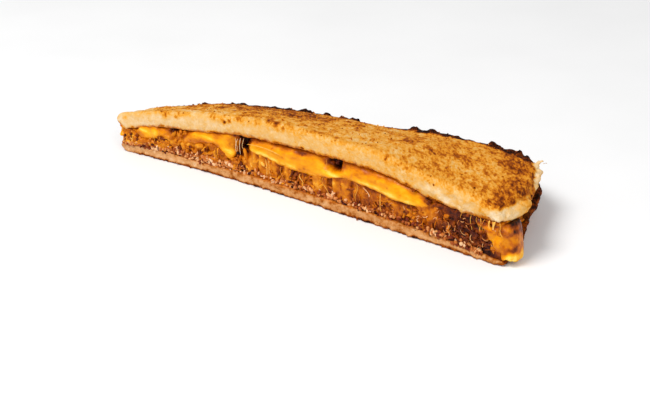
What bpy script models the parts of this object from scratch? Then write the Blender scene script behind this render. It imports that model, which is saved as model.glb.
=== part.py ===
"""Half of a grilled cheese sandwich, cut straight through and lying flat on its bottom slice.

The cut face looks along -Y, the slices' crust runs round both ends and the back, and +Z is up.
Four layers lie on one another: bottom slice, browned filling, melted cheese and top slice. The half
is thickest along the cut and pinched together round the crust. Lengths are in metres. While the
layers are worked out, x runs along the cut from its left end, y goes back from the cut's two ends
and z is the height above the floor. At the end the half is moved over the origin.
"""

import math

import bmesh
import bpy
from mathutils import Vector, noise

# The outline of the slices, seen from above: a loaf's domed end on the left, its square end right.
CUT_LENGTH = 0.145
DEPTH = 0.0465
CUT_HOLLOW = 0.0034  # how far the middle of the cut lies behind its two ends
CUT_SWAY = 0.0005  # and how much more so on the left than on the right
BOTTOM_STANDS_OUT = 0.0012  # how far the bottom slice comes forward in the middle of the cut
DOME_START, DOME_LENGTH, DOME_POWER = 0.008, 0.070, 2.2
CORNER_START, CORNER_LENGTH, CORNER_POWER = 0.0165, 0.033, 2.0
END_DRAWN_IN, BOTTOM_DRAWN_IN = 0.0040, 0.0014  # how far the right end is drawn in behind the cut
END_DRAWN_FROM, END_DRAWN_MIDDLE, END_DRAWN_REACH = 0.105, 0.027, 0.012
BACK_WAVE, BACK_WAVE_TURNS = 0.0005, 5

# The stack at places along the cut: how far along, bottom slice, filled height, top slice.
STATIONS = (
    (0.000, 0.0028, 0.0050, 0.0054),
    (0.014, 0.0029, 0.0076, 0.0055),
    (0.030, 0.0028, 0.0096, 0.0060),
    (0.052, 0.0027, 0.0123, 0.0062),
    (0.098, 0.0031, 0.0133, 0.0060),
    (0.110, 0.0030, 0.0122, 0.0060),
    (0.121, 0.0026, 0.0103, 0.0060),
    (0.133, 0.0021, 0.0100, 0.0056),
    (0.145, 0.0015, 0.0109, 0.0046),
)
# The same at the crust, at the left and the right end of the half.
CRUST_LEFT = (0.0028, 0.0014, 0.0046)
CRUST_RIGHT = (0.0026, 0.0072, 0.0052)
CRUST_POWER = 2.0
FALL_POWER = 1.1  # how roundly the stack falls from the cut to the crust
GAP = 0.0003  # left between pieces that touch

# The right end of the bottom slice curls up from the floor, round the square corner.
CURL_HEIGHT = 0.0064
CURL_REACH = 0.006
CURL_FROM, CURL_TO = 0.006, 0.019  # where it sets in, behind the cut
CURL_LEFT_END, CURL_FULL = 0.108, 0.128
CURL_DRAWS_IN = 0.35  # how far its edge moves in, as a share of the lift
CURL_CLEAR = 0.0060  # the inner layers stop this much shorter there
CURL_CLEAR_FROM, CURL_CLEAR_TO = 0.15, 0.60  # between these shares of the way back
LEAST_FILLED = 0.0030  # what the curl leaves between the slices, inside that

# The melted cheese: its share of the filled height, and the blobs that swell out of the cut,
# each (place along the cut, half width, how far it stands out, how far it sags).
CHEESE_SHARE, CHEESE_SHARE_RIGHT = 0.38, 0.24
CHEESE_FADES = (0.110, 0.126)
CHEESE_LEAST = 0.0011
CHEESE_BLOBS = (
    (0.012, 0.006, 0.0006, 0.0006),
    (0.035, 0.010, 0.0012, 0.0008),
    (0.069, 0.015, 0.0018, 0.0016),
    (0.103, 0.014, 0.0018, 0.0014),
)
SAG_REACH = 0.010

# The flat drip of cheese that hangs down the right end, near the cut.
DRIP_BEHIND = 0.0037
DRIP_OUT = 0.0020
DRIP_FOOT = 0.0014
DRIP_WIDE, DRIP_THICK = 0.0030, 0.0010  # half its size at the foot, along the end and out of it
DRIP_NECK = 0.0010
DRIP_KNEE = 1.1  # how far out its bend lies, as a share of how far out it hangs
DRIP_WIDENS = (0.2, 0.8)
DRIP_LAST_RING, DRIP_TIP = 0.75, 0.8  # shares of its width and thickness that round its foot
DRIP_RINGS, DRIP_SIDES = 12, 14

# How far the inner layers stop short of the slices, at the cut and at the crust.
INSET_CUT = {"cheese": 0.0003, "filling": 0.0006}
INSET_CRUST = {"cheese": 0.0026, "filling": 0.0022}
INSET_RIGHT_SHARE = 0.35
TOP_SLID_LEFT = 0.0012
TOP_UNDERCUT = 0.0022  # how far the top slice's left end slopes in beneath, at the cut
UNDERCUT_REACH, UNDERCUT_BACK = 0.0035, 0.0100

# The unevenness of each surface: its number in the noise, the size of its waves and their height.
BOTTOM_WAVES = (1, 0.018, 0.0004)
CHEESE_WAVES = (2, 0.010, 0.0003)
TOP_WAVES = (3, 0.020, 0.0007)

# What the rounded edges take off a layer's thickness, as shares of it, each (at the cut, at the
# crust), and how far the edge swells out at the crust.
LAYERS = ("bread_bottom", "filling", "cheese", "bread_top")
RIM_LOW = dict(zip(LAYERS, ((0, 0.30), (0.04, 0.10), (0.10, 0.12), (0, 0.12))))
RIM_HIGH = dict(zip(LAYERS, ((0, 0.16), (0.04, 0.10), (0.02, 0.10), (0.13, 0.40))))
SWELL = dict(zip(LAYERS, (0.0005, 0.0003, 0.0004, 0.0009)))
NEXT_ROW_RIM = 0.22  # the share of that on the next row in
TOP_CUT_SWELL = 0.0002

# The layers' looks: linear red, green and blue, then the roughness.
BOTTOM_LOOK = (0.42, 0.19, 0.06), 0.85
FILLING_LOOK = (0.33, 0.11, 0.02), 0.35
CHEESE_LOOK = (0.90, 0.36, 0.015), 0.30
TOP_LOOK = (0.72, 0.33, 0.08), 0.80

# Mesh density, and the rows that make a layer's rounded edge.
COLUMNS, ROWS = 44, 10
CROWD_ALONG, CROWD_BACK = 0.72, 0.60
EDGE_ROWS = 3


def smoothstep(low, high, value):
    share = min(1.0, max(0.0, (value - low) / (high - low)))
    return share * share * (3 - 2 * share)


def mix(first, second, share):
    return first + (second - first) * share


def inside(x):
    return min(CUT_LENGTH, max(0.0, x))


def superellipse(share, power):
    return (1 - share**power) ** (1 / power)


def cut_line(x):
    """How far the cut lies behind its two ends."""
    share = inside(x) / CUT_LENGTH
    return CUT_HOLLOW * 4 * share * (1 - share) + CUT_SWAY * math.sin(2 * math.pi * share)


def back_edge(x):
    """The depth of the outline at this place along the cut."""
    x = inside(x)
    wave = BACK_WAVE * math.sin(2 * math.pi * BACK_WAVE_TURNS * x / CUT_LENGTH)
    if x < DOME_LENGTH:
        rise = superellipse(1 - x / DOME_LENGTH, DOME_POWER)
        return DOME_START + (DEPTH - DOME_START) * rise + wave * rise
    past = max(0.0, x - (CUT_LENGTH - CORNER_LENGTH)) / CORNER_LENGTH
    rise = superellipse(past, CORNER_POWER)
    return CORNER_START + (DEPTH - CORNER_START) * rise + wave * rise


def behind(x, y):
    """How far back from the cut a place lies, as a share of the way to the crust."""
    front = cut_line(x)
    return min(1.0, max(0.0, (y - front) / (back_edge(x) - front)))


def smooth_through(before, start, end, after, share):
    """A curve from start to end that also heeds the values before and after them."""
    bend = 2 * before - 5 * start + 4 * end - after
    twist = 3 * (start - end) + after - before
    return start + 0.5 * share * (end - before + share * (bend + share * twist))


def at_cut(x, column):
    """One column of STATIONS, read smoothly at this place along the cut."""
    x = inside(x)
    last = len(STATIONS) - 1
    i = max(k for k in range(last) if STATIONS[k][0] <= x)
    start, end = STATIONS[i], STATIONS[i + 1]
    share = (x - start[0]) / (end[0] - start[0])
    near = [STATIONS[min(last, max(0, k))][column] for k in range(i - 1, i + 3)]
    return smooth_through(*near, share)


def layer_height(x, y, column):
    """The height of the bottom slice (1), the filled space (2) or the top slice (3)."""
    along = (inside(x) / CUT_LENGTH) ** CRUST_POWER
    crust = mix(CRUST_LEFT[column - 1], CRUST_RIGHT[column - 1], along)
    return mix(at_cut(x, column), crust, behind(x, y) ** FALL_POWER)


def wobble(x, y, waves):
    """A smooth unevenness."""
    layer, size, height = waves
    return height * noise.noise(Vector((x / size, y / size, layer * 7.3)))


def curl(x, y):
    """How far the bottom slice has lifted off the floor."""
    along = max(0.0, x - (CUT_LENGTH - CORNER_LENGTH)) / CORNER_LENGTH
    across = max(0.0, y - CORNER_START) / (DEPTH - CORNER_START)
    from_crust = max(0.0, 1 - math.hypot(along, across)) * CORNER_LENGTH
    share = math.exp(-((from_crust / CURL_REACH) ** 2)) * smoothstep(CURL_FROM, CURL_TO, y)
    lift = CURL_HEIGHT * share * smoothstep(CURL_LEFT_END, CURL_FULL, x)
    room = mix(2 * GAP, LEAST_FILLED, smoothstep(0.0, CURL_CLEAR, from_crust))
    return min(lift, max(0.0, layer_height(x, y, 2) - room))


def top_of_bottom_slice(x, y):
    return curl(x, y) + layer_height(x, y, 1) + wobble(x, y, BOTTOM_WAVES)


def under_top_slice(x, y):
    low = layer_height(x, y, 1) + wobble(x, y, BOTTOM_WAVES)
    return low + layer_height(x, y, 2)


def top_of_stack(x, y):
    return under_top_slice(x, y) + layer_height(x, y, 3) + wobble(x, y, TOP_WAVES)


def blob_sum(x, column):
    """How far the blobs stand out (2) or sag (3) at this place along the cut."""
    return sum(b[column] * math.exp(-(((x - b[0]) / b[1]) ** 4)) for b in CHEESE_BLOBS)


def under_cheese(x, y):
    """The surface between the browned filling and the cheese."""
    low, high = top_of_bottom_slice(x, y), under_top_slice(x, y)
    share = mix(CHEESE_SHARE, CHEESE_SHARE_RIGHT, smoothstep(*CHEESE_FADES, x))
    sag = blob_sum(x, 3) * math.exp(-max(0.0, y - cut_line(x)) / SAG_REACH)
    cheese = max(CHEESE_LEAST, share * (high - low) + sag + wobble(x, y, CHEESE_WAVES))
    return high - cheese


def spread(count, crowd):
    """Shares from 0 to 1, crowded towards both ends."""
    turn = 2 * math.pi / count
    return [i / count - crowd * math.sin(turn * i) / (2 * math.pi) for i in range(count + 1)]


def plan_point(along, back, inset_cut, inset_crust, slid):
    """A place inside the outline, from shares along the cut and back from it."""
    outline_x = along * CUT_LENGTH
    clear = CURL_CLEAR if inset_crust else 0.0
    right = inset_crust * INSET_RIGHT_SHARE + clear * smoothstep(CURL_CLEAR_FROM, CURL_CLEAR_TO, back)
    x = mix(inset_crust, CUT_LENGTH - right, along) - slid
    front = cut_line(outline_x) + inset_cut
    rear = back_edge(outline_x) - inset_crust - clear * smoothstep(CURL_LEFT_END, CURL_FULL, outline_x)
    return x, mix(front, rear, back)


def bottom_place(along, back):
    return plan_point(along, back, -BOTTOM_STANDS_OUT * math.sin(math.pi * along), 0.0, 0.0)


def top_place(along, back):
    return plan_point(along, back, 0.0, 0.0, TOP_SLID_LEFT)


def inner_place(layer):
    cut, crust = INSET_CUT[layer], INSET_CRUST[layer]
    return lambda along, back: plan_point(along, back, cut, crust, 0.0)


def ring_places():
    """The grid's outer places in order: the cut, the right end, the back, the left end."""
    ring = [(i, 0) for i in range(COLUMNS)]
    ring += [(COLUMNS, j) for j in range(ROWS)]
    ring += [(i, ROWS) for i in range(COLUMNS, 0, -1)]
    ring += [(0, j) for j in range(ROWS, 0, -1)]
    return ring


def outward(before, after):
    """The level direction out of a closed line that runs from one place to the other."""
    return Vector((after[1] - before[1], before[0] - after[0], 0)).normalized()


def rim_share(i, j, cut, crust):
    """How much of the thickness an edge takes off here, from its share at the cut and the crust."""
    steps = min(i, COLUMNS - i, ROWS - j)
    share = {0: crust, 1: crust * NEXT_ROW_RIM}.get(steps, 0.0)
    return max(share, cut if j == 0 else 0.0)


def layer_points(mesh, layer, low, high, place_of, drawn_in, undercut):
    """The two surfaces of a layer as vertices of the mesh, with their places seen from above."""
    along, back = spread(COLUMNS, CROWD_ALONG), spread(ROWS, CROWD_BACK)
    places, lower, upper = {}, {}, {}
    for i in range(COLUMNS + 1):
        for j in range(ROWS + 1):
            x, y = place_of(along[i], back[j])
            bottom, top = low(x, y), high(x, y)
            thick = top - bottom
            x -= drawn_in * curl(x, y)
            near_left_end = 1 - smoothstep(0.0, UNDERCUT_REACH, x)
            beneath = undercut * near_left_end * (1 - smoothstep(0.0, UNDERCUT_BACK, y))
            places[i, j] = (x, y)
            low_z = bottom + thick * rim_share(i, j, *RIM_LOW[layer])
            high_z = top - thick * rim_share(i, j, *RIM_HIGH[layer])
            lower[i, j] = mesh.verts.new((x + beneath, y, low_z))
            upper[i, j] = mesh.verts.new((x, y, high_z))
    return places, lower, upper


def edge_loops(mesh, layer, places, lower, upper, cut_swell):
    """Rings of vertices from the lower to the upper surface, round the layer's outer edge."""
    ring = ring_places()
    count = len(ring)
    loops = [[lower[place] for place in ring]]
    for row in range(1, EDGE_ROWS):
        loop = []
        for k, place in enumerate(ring):
            out = outward(places[ring[k - 1]], places[ring[(k + 1) % count]])
            swell = cut_swell(places[place][0]) if place[1] == 0 else SWELL[layer]
            middle = lower[place].co.lerp(upper[place].co, row / EDGE_ROWS)
            loop.append(mesh.verts.new(middle + out * swell * math.sin(math.pi * row / EDGE_ROWS)))
        loops.append(loop)
    return loops + [[upper[place] for place in ring]]


def layer_mesh(layer, low, high, place_of, cut_swell, drawn_in=0.0, undercut=0.0):
    """A closed body between two surfaces. cut_swell says how far it swells out along the cut. A
    piece that curls is drawn in to the left, by this share of its lift, and undercut slopes its
    left end in beneath."""
    mesh = bmesh.new()
    places, lower, upper = layer_points(mesh, layer, low, high, place_of, drawn_in, undercut)
    for i in range(COLUMNS):
        for j in range(ROWS):
            corners = ((i, j), (i + 1, j), (i + 1, j + 1), (i, j + 1))
            mesh.faces.new([upper[place] for place in corners])
            mesh.faces.new([lower[place] for place in reversed(corners)])
    loops = edge_loops(mesh, layer, places, lower, upper, cut_swell)
    for below, above in zip(loops, loops[1:]):
        for k in range(len(below)):
            after = (k + 1) % len(below)
            mesh.faces.new((below[k], below[after], above[after], above[k]))
    return finish_mesh(layer, mesh)


def finish_mesh(name, mesh):
    data = bpy.data.meshes.new(name)
    mesh.to_mesh(data)
    mesh.free()
    data.shade_smooth()
    return data


def material(name, look):
    colour, roughness = look
    made = bpy.data.materials.new(name)
    made.use_nodes = True
    shader = made.node_tree.nodes["Principled BSDF"]
    shader.inputs["Base Color"].default_value = (*colour, 1)
    shader.inputs["Roughness"].default_value = roughness
    shader.inputs["Metallic"].default_value = 0.0
    made.diffuse_color = (*colour, 1)
    return made


def add(name, data, coat):
    data.materials.append(coat)
    thing = bpy.data.objects.new(name, data)
    bpy.context.scene.collection.objects.link(thing)
    return thing


def make_bread_bottom():
    data = layer_mesh(
        "bread_bottom",
        curl,
        top_of_bottom_slice,
        bottom_place,
        cut_swell=lambda x: 0.0,
        drawn_in=CURL_DRAWS_IN,
    )
    return add("bread_bottom", data, material("toasted_bottom_slice", BOTTOM_LOOK))


def make_filling():
    data = layer_mesh(
        "filling",
        lambda x, y: top_of_bottom_slice(x, y) + GAP,
        lambda x, y: under_cheese(x, y) - GAP,
        inner_place("filling"),
        cut_swell=lambda x: SWELL["filling"],
    )
    return add("filling", data, material("browned_filling", FILLING_LOOK))


def drip_line():
    """The start, knee and foot of the hanging drip, which starts inside the cheese."""
    end = CUT_LENGTH - CURL_CLEAR
    height = (under_cheese(end, DRIP_BEHIND) + under_top_slice(end, DRIP_BEHIND)) / 2
    start = Vector((end, DRIP_BEHIND, height))
    knee = Vector((CUT_LENGTH + DRIP_OUT * DRIP_KNEE, DRIP_BEHIND, height + DRIP_NECK))
    foot = Vector((CUT_LENGTH + DRIP_OUT, DRIP_BEHIND, DRIP_FOOT))
    return start, knee, foot


def drip_ring(mesh, share, wide, thick):
    """An oval of vertices round the drip's bent line, with its centre and the way ahead."""
    start, knee, foot = drip_line()
    centre = start.lerp(knee, share).lerp(knee.lerp(foot, share), share)
    ahead = (knee - start).lerp(foot - knee, share).normalized()
    side = Vector((0, 1, 0))
    above = ahead.cross(side)
    ring = []
    for k in range(DRIP_SIDES):
        angle = 2 * math.pi * k / DRIP_SIDES
        out = side * wide * math.cos(angle) + above * thick * math.sin(angle)
        ring.append(mesh.verts.new(centre + out))
    return ring, centre, ahead


def make_drip():
    """The hanging drip, a helper that is joined to the cheese."""
    mesh = bmesh.new()
    rings = []
    for row in range(DRIP_RINGS + 1):
        share = row / DRIP_RINGS
        wide = mix(DRIP_NECK, DRIP_WIDE, smoothstep(*DRIP_WIDENS, share))
        thick = mix(DRIP_NECK, DRIP_THICK, smoothstep(*DRIP_WIDENS, share))
        rounding = DRIP_LAST_RING if row == DRIP_RINGS else 1.0
        ring, centre, ahead = drip_ring(mesh, share, wide * rounding, thick * rounding)
        rings.append(ring)
    for near, far in zip(rings, rings[1:]):
        for k in range(DRIP_SIDES):
            after = (k + 1) % DRIP_SIDES
            mesh.faces.new((near[k], near[after], far[after], far[k]))
    mesh.faces.new(rings[0])
    tip = mesh.verts.new(centre + ahead * DRIP_THICK * DRIP_TIP)
    for k in range(DRIP_SIDES):
        mesh.faces.new((rings[-1][k], rings[-1][(k + 1) % DRIP_SIDES], tip))
    bmesh.ops.recalc_face_normals(mesh, faces=mesh.faces)
    drip = add("drip", finish_mesh("drip", mesh), bpy.data.materials["melted_cheese"])
    drip.hide_render = True
    drip.display_type = "WIRE"
    return drip


def make_cheese():
    data = layer_mesh(
        "cheese",
        under_cheese,
        lambda x, y: under_top_slice(x, y) - GAP,
        inner_place("cheese"),
        cut_swell=lambda x: blob_sum(x, 2),
    )
    cheese = add("cheese", data, material("melted_cheese", CHEESE_LOOK))
    union = cheese.modifiers.new("hanging drip", "BOOLEAN")
    union.operation = "UNION"
    union.object = make_drip()
    return cheese


def make_bread_top():
    data = layer_mesh(
        "bread_top",
        under_top_slice,
        top_of_stack,
        top_place,
        cut_swell=lambda x: TOP_CUT_SWELL,
        undercut=TOP_UNDERCUT,
    )
    return add("bread_top", data, material("toasted_top_slice", TOP_LOOK))


def draw_in_right_end(thing, most):
    """Moves the right end of a layer to the left, most of all some way behind the cut."""
    for vertex in thing.data.vertices:
        x, y, _ = vertex.co
        near = math.exp(-(((y - END_DRAWN_MIDDLE) / END_DRAWN_REACH) ** 2))
        vertex.co.x -= most * near * smoothstep(END_DRAWN_FROM, CUT_LENGTH, x)


def stand_on_origin(things):
    """Moves the half so that the middle of its box stands over the origin."""
    bpy.context.view_layer.update()
    corners = [Vector(corner) for thing in things for corner in thing.bound_box]
    low, high = ([pick(c[k] for c in corners) for k in range(3)] for pick in (min, max))
    middle = Vector(((low[0] + high[0]) / 2, (low[1] + high[1]) / 2, low[2]))
    for thing in bpy.data.objects:
        for vertex in thing.data.vertices:
            vertex.co -= middle


for old in list(bpy.data.objects):
    bpy.data.objects.remove(old)
layers = [make_bread_bottom(), make_filling(), make_cheese(), make_bread_top()]
for piece in bpy.data.objects:
    draw_in_right_end(piece, BOTTOM_DRAWN_IN if piece.name == "bread_bottom" else END_DRAWN_IN)
stand_on_origin(layers)
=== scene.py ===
"""The looks of half a grilled cheese sandwich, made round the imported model.

Shapes are worked out in millimetres in the half's own frame: x runs along the cut from its left
end, y goes back from the cut's two ends, z is the height above the table. The slices, the cheese and
the mass of filling are dense skins sculpted as arrays; shreds, strings and crumbs are joined meshes.
"""

import itertools
import math
from types import SimpleNamespace

import bmesh
import bpy
import numpy as np
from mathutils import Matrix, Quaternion, Vector


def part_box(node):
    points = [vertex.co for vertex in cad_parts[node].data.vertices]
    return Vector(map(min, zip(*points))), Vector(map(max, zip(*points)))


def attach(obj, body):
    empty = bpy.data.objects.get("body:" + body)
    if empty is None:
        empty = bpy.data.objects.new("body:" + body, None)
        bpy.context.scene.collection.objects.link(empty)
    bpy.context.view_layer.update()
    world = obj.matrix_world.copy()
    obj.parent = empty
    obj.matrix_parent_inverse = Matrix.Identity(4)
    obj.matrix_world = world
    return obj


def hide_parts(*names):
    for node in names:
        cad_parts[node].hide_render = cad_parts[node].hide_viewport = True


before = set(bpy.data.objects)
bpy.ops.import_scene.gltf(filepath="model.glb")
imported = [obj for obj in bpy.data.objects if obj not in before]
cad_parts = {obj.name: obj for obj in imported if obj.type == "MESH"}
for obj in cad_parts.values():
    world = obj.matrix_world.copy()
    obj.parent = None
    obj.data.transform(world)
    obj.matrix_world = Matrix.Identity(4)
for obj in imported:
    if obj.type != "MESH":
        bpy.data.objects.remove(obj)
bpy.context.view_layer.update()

MM = 0.001

# The outline of the slices, as the model has it.
CUT_LENGTH, DEPTH = 145, 46.5
CUT_HOLLOW, CUT_SWAY = 3.4, 0.5
BOTTOM_STANDS_OUT = 1.2
DOME_START, DOME_LENGTH, DOME_POWER = 8, 70, 2.2
CORNER_START, CORNER_LENGTH, CORNER_POWER = 16.5, 33, 2
END_DRAWN_IN, END_DRAWN_FROM, END_DRAWN_MIDDLE, END_DRAWN_REACH = 4, 105, 27, 12
BOTTOM_SWELL = 0.43  # how far the bottom slice swells out past its outline's left end

SLICE_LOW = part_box("bread_bottom")[0]
ORIGIN = np.array((SLICE_LOW.x + BOTTOM_SWELL * MM, SLICE_LOW.y, 0.0))

# How fine the dense skins are.
SLICE_VOXEL, CHEESE_VOXEL, CORE_VOXEL, FACE_VOXEL = 0.42, 0.40, 0.60, 0.32

# The view: where it looks from, what it aims at in the half's frame, and the lens.
LOOK_AZIMUTH, LOOK_ELEVATION, LOOK_ROLL = 39.72, 24.03, -1.88
LOOK_DISTANCE = 426.1
LOOK_AIM = (70.98, 16.67, -6.31)
LENS, SENSOR = 77.44, 36

# ---- noise

FINER = (1, 0.55, 0.3025)  # how strong each layer of fractal noise is


def hashed(cells, seed):
    """A repeatable value from 0 to 1 for each whole-number cell."""
    mixed = cells[..., 0] * 73856093 ^ cells[..., 1] * 19349663 ^ cells[..., 2] * 83492791
    mixed = (mixed ^ (seed * 668265263 + 374761393)) & 0xFFFFFFFF
    mixed = ((mixed ^ (mixed >> 15)) * 2246822519) & 0xFFFFFFFF
    mixed = ((mixed ^ (mixed >> 13)) * 3266489917) & 0xFFFFFFFF
    return (mixed ^ (mixed >> 16)) / 0xFFFFFFFF


def noise(points, size, seed):
    """Smooth noise from -1 to 1, with bumps about this size."""
    scaled = points / np.asarray(size, float)
    base = np.floor(scaled).astype(np.int64)
    share = scaled - base
    share = share * share * (3 - 2 * share)
    total = np.zeros(len(points))
    for corner in itertools.product((0, 1), repeat=3):
        weight = np.prod(np.where(corner, share, 1 - share), axis=1)
        total += weight * hashed(base + np.array(corner), seed)
    return 2 * total - 1


def fractal(points, size, seed):
    """Noise with two finer layers on it, still about -1 to 1."""
    size = np.asarray(size, float)
    layers = [noise(points, size / 2**k, seed + k) * share for k, share in enumerate(FINER)]
    return sum(layers) / sum(FINER) * 1.4


def pores(points, size, seed, width=0.32, least=0.45):
    """1 in the middle of scattered pores, falling to 0. A higher least leaves fewer."""
    scaled = points / np.asarray(size, float)
    base = np.floor(scaled).astype(np.int64)
    nearest, value = np.full(len(points), np.inf), np.zeros(len(points))
    for offset in itertools.product((-1, 0, 1), repeat=3):
        cell = base + np.array(offset)
        centre = cell + np.stack([hashed(cell, seed + k) for k in range(3)], axis=1)
        distance = np.linalg.norm(scaled - centre, axis=1)
        value = np.where(distance < nearest, hashed(cell, seed + 3), value)
        nearest = np.minimum(distance, nearest)
    return bell(nearest, 0, width) * (value > least)


def ramp(values, low, high):
    """0 below low, 1 above high, and smooth between them."""
    share = np.clip((values - low) / (high - low), 0, 1)
    return share * share * (3 - 2 * share)


def fall(values, low, high):
    """1 below low and 0 above high."""
    return 1 - ramp(values, low, high)


def mix(first, second, share):
    return first + (second - first) * share


def bell(values, middle, width):
    return np.exp(-(((values - middle) / width) ** 2))


# ---- the half's outline


def superellipse(share, power):
    return (1 - np.clip(share, 0, 1) ** power) ** (1 / power)


def cut_line(x, stands_out=0.0):
    """How far the cut lies behind its two ends, less what a layer stands out of it."""
    share = np.clip(x / CUT_LENGTH, 0, 1)
    line = CUT_HOLLOW * 4 * share * (1 - share) + CUT_SWAY * np.sin(2 * math.pi * share)
    return line - stands_out * np.sin(math.pi * share)


def on_cut(x, behind, z):
    """The point at this place along the cut, this far behind it."""
    return np.array((x, cut_line(x) + behind, z))


def back_edge(x):
    """How deep the outline is at each place along the cut."""
    dome = DOME_START + (DEPTH - DOME_START) * superellipse(1 - x / DOME_LENGTH, DOME_POWER)
    past = np.clip((x - CUT_LENGTH + CORNER_LENGTH) / CORNER_LENGTH, 0, 1)
    corner = CORNER_START + (DEPTH - CORNER_START) * superellipse(past, CORNER_POWER)
    return np.where(x < DOME_LENGTH, dome, corner)


def crust_line():
    """Places round the crust, from the cut's left end to its right end."""
    x = CUT_LENGTH * (1 - np.cos(np.linspace(0, math.pi, 500))) / 2
    left = [(0, y) for y in np.arange(0, DOME_START, 0.5)]
    right = [(CUT_LENGTH, y) for y in np.arange(CORNER_START, 0, -0.5)]
    line = np.vstack((left, np.column_stack((x, back_edge(x))), right))
    near = bell(line[:, 1], END_DRAWN_MIDDLE, END_DRAWN_REACH)
    line[:, 0] -= END_DRAWN_IN * near * ramp(line[:, 0], END_DRAWN_FROM, CUT_LENGTH)
    return line


def line_distance(x, y, line):
    """How far each place lies from a line's nearest point, seen from above."""
    found = []
    for first in range(0, len(x), 4000):
        part = slice(first, first + 4000)
        apart = np.hypot(x[part, None] - line[:, 0], y[part, None] - line[:, 1])
        found.append(apart.min(axis=1))
    return np.concatenate(found)


def cut_profile(node, stands_out=0.0):
    """(places along the cut, lowest heights, highest heights) of a model node's cut face."""
    points = node_body(node)[0]
    face = points[np.abs(points[:, 1] - cut_line(points[:, 0], stands_out)) < 0.5]
    places = np.round(face[:, 0])
    along = np.unique(places)
    low, high = ([pick(face[places == place, 2]) for place in along] for pick in (min, max))
    return along, low, high


# ---- bodies and skins


def node_body(node):
    """(points in millimetres, faces) of a model node."""
    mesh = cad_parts[node].data
    points = np.array([vertex.co for vertex in mesh.vertices])
    return (points - ORIGIN) / MM, [tuple(face.vertices) for face in mesh.polygons]


def joined(bodies):
    """Several (points, faces) bodies as one."""
    faces, count = [], 0
    for body_points, body_faces in bodies:
        faces += [tuple(corner + count for corner in face) for face in body_faces]
        count += len(body_points)
    return np.vstack([points for points, _ in bodies]), faces


def mesh_of(name, points, faces):
    data = bpy.data.meshes.new(name)
    data.from_pydata((ORIGIN + points * MM).tolist(), [], faces)
    data.update()
    return data


def placed(name, data):
    thing = bpy.data.objects.new(name, data)
    bpy.context.scene.collection.objects.link(thing)
    return thing


def voxel_skin(bodies, voxel):
    """(points, quads) of one even skin round all the bodies."""
    thing = placed("voxels", mesh_of("voxels", *joined(bodies)))
    remesh = thing.modifiers.new("voxels", "REMESH")
    remesh.mode = "VOXEL"
    remesh.voxel_size = voxel * MM
    graph = bpy.context.evaluated_depsgraph_get()
    mesh = bpy.data.meshes.new_from_object(thing.evaluated_get(graph))
    bpy.data.objects.remove(thing)
    points = np.empty(len(mesh.vertices) * 3)
    mesh.vertices.foreach_get("co", points)
    corners = np.empty(len(mesh.loops), np.int32)
    mesh.loops.foreach_get("vertex_index", corners)
    return (points.reshape(-1, 3) - ORIGIN) / MM, corners.reshape(-1, 4)


def unit(rows):
    """Rows of x, y, z brought to length 1."""
    return rows / np.maximum(np.linalg.norm(rows, axis=1, keepdims=True), 1e-12)


class Skin:
    """A dense closed mesh of quads that is sculpted as arrays, in millimetres."""

    def __init__(self, bodies, voxel):
        self.points, self.quads = voxel_skin(bodies, voxel)
        self.starts = self.quads.ravel()
        self.ends = np.roll(self.quads, -1, axis=1).ravel()
        self.degree = np.bincount(self.starts, minlength=len(self.points))

    def around(self, values):
        """Each point's value, or its row of values, averaged over its neighbours."""
        if values.ndim > 1:
            return np.stack([self.around(column) for column in values.T], axis=1)
        total = np.bincount(self.starts, values[self.ends], len(self.points))
        return total / np.maximum(self.degree, 1)

    def smooth(self, rounds, share=0.5):
        for _ in range(rounds):
            self.points += (self.around(self.points) - self.points) * share

    def soften(self, values):
        return (values + self.around(values)) / 2

    def normals(self):
        corners = self.points[self.quads]
        flat = np.cross(corners[:, 2] - corners[:, 0], corners[:, 3] - corners[:, 1])
        count = len(self.points)
        return unit(np.stack([np.bincount(self.starts, np.repeat(way, 4), count) for way in flat.T], axis=1))

    def hollowness(self):
        """How far each point lies beneath its surroundings, up to 0.3 mm either way."""
        even = self.points
        for _ in range(6):
            even = self.around(even)
        depth = np.einsum("ij,ij->i", even - self.points, self.normals())
        return self.soften(np.clip(depth, -0.3, 0.3))

    def push(self, amount):
        self.points += self.normals() * amount[:, None]

    def body(self):
        return self.points, self.quads.tolist()


def surface_marks(skin, profile, stands_out=0.0):
    """Where each point of a slice's skin lies: on its cut, top, underside or crust."""
    points = skin.points.copy()
    x, y, z = points.T
    normal = skin.normals()
    behind = y - cut_line(x, stands_out)
    low, high = (np.interp(x, profile[0], heights) for heights in profile[1:])
    return SimpleNamespace(
        points=points,
        x=x,
        y=y,
        z=z,
        behind=behind,
        front=ramp(-normal[:, 1], 0.25, 0.75) * fall(behind, 0.9, 2.2),
        up=ramp(normal[:, 2], 0.2, 0.8),
        down=ramp(-normal[:, 2], 0.2, 0.8),
        crust=line_distance(x, y, CRUST),
        share=np.clip((z - low) / (high - low), 0, 1),
        above_low=z - low,
    )


def unit_sphere(subdivisions):
    made = bmesh.new()
    bmesh.ops.create_icosphere(made, subdivisions=subdivisions, radius=1)
    points = np.array([vertex.co for vertex in made.verts])
    faces = [tuple(vertex.index for vertex in face.verts) for face in made.faces]
    made.free()
    return points, faces


BALL, FINE_BALL = unit_sphere(2), unit_sphere(3)


def any_turn(rng):
    return np.array(Quaternion(rng.normal(size=4)).normalized().to_matrix())


def lump(rng, centre, size, rough, ball=BALL):
    """An uneven rounded lump with these half sizes."""
    points, faces = ball
    bumps = 1 + rough * noise(points + rng.uniform(-50, 50, 3), 0.9, 5)
    return centre + (points * bumps[:, None] * size) @ any_turn(rng), faces


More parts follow.
